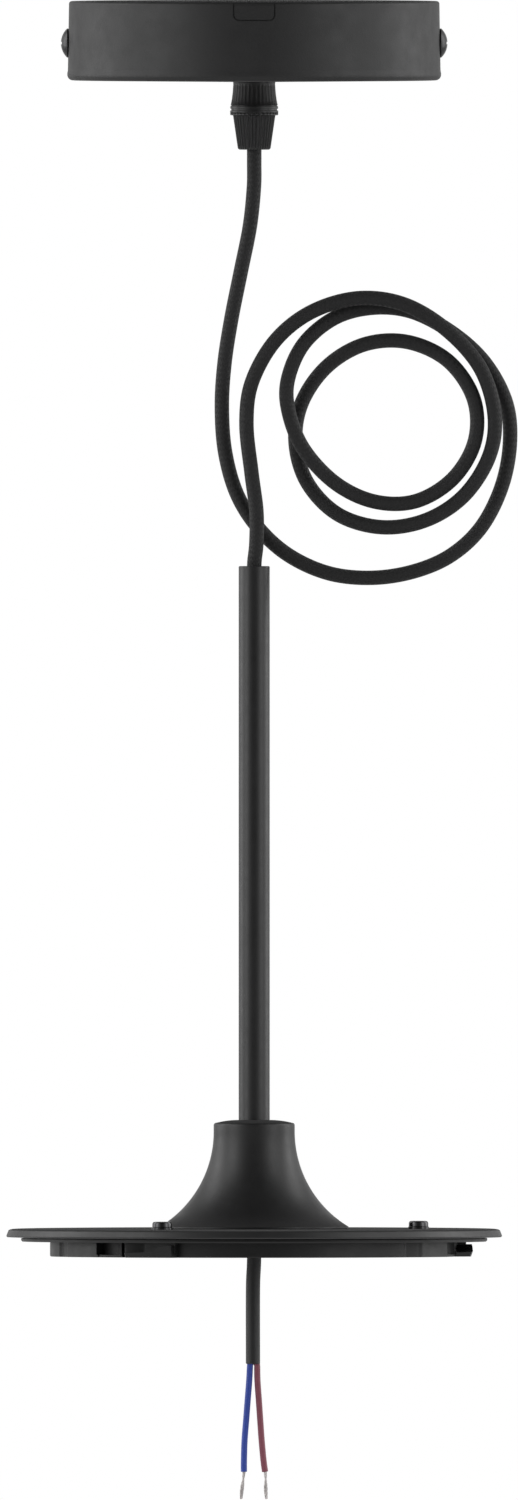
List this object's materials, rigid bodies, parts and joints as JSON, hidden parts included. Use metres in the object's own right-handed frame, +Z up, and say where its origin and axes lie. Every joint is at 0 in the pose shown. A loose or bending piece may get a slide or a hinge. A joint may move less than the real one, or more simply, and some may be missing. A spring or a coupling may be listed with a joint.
{
  "type": "pendant cord set",
  "caption": "Pendant light cord set: shallow round ceiling canopy, cord grip, looped textile cord, slim down tube, flared cover, flange with bayonet ring and stripped cable end.",
  "frame": {"origin": "middle of the ceiling plane, on the bracket's top face", "axes": "+Z up along the down tube's axis, +X to the right of the picture's view and along the bracket, +Y away from the viewer"},
  "size_m": [0.1643, 0.1596, 0.4817],
  "materials": {
    "black_coat": "matte black powder coat",
    "satin_black": "satin black coat",
    "black_plastic": "black moulded plastic",
    "black_screw": "blackened steel",
    "zinc_steel": "zinc plated steel",
    "brass": "plain brass",
    "ivory_plastic": "ivory moulded plastic",
    "natural_nylon": "natural nylon",
    "black_textile": "matte black braid",
    "black_sheath": "soft black sheath",
    "blue_insulation": "blue core insulation",
    "brown_insulation": "brown core insulation",
    "tinned_copper": "tinned copper strands"
  },
  "bodies": {
    "root": {"canopy_cup": "black_coat", "ceiling_bracket": "black_coat", "side_screw_left": "black_screw", "side_screw_right": "black_screw", "terminal_block": "ivory_plastic", "terminal_sleeve_live": "brass", "terminal_sleeve_neutral": "brass", "terminal_screw_live_cord": "zinc_steel", "terminal_screw_live_supply": "zinc_steel", "terminal_screw_neutral_cord": "zinc_steel", "terminal_screw_neutral_supply": "zinc_steel", "block_screw": "zinc_steel", "lead_live": "brown_insulation", "lead_neutral": "blue_insulation", "grip_body": "black_plastic", "grip_nut": "black_plastic", "grip_clamp_ring": "natural_nylon", "grip_lock_washer": "zinc_steel", "grip_lock_nut": "zinc_steel", "cord_in_grip": "black_textile", "braided_cord": "black_textile", "cord_in_tube": "black_textile", "down_tube": "satin_black", "tube_bush_upper": "black_plastic", "tube_bush_lower": "black_plastic", "tube_nut_upper": "zinc_steel", "tube_nut_lower": "zinc_steel", "tube_washer_lower": "zinc_steel", "trumpet_cover": "satin_black", "flange_disc": "satin_black", "flange_screw_1": "black_screw", "flange_screw_2": "black_screw", "flange_screw_3": "black_screw", "bayonet_ring": "black_plastic", "lower_cable": "black_sheath", "core_blue": "blue_insulation", "core_brown": "brown_insulation", "strand_blue": "tinned_copper", "strand_brown": "tinned_copper"}
  },
  "joints": []
}
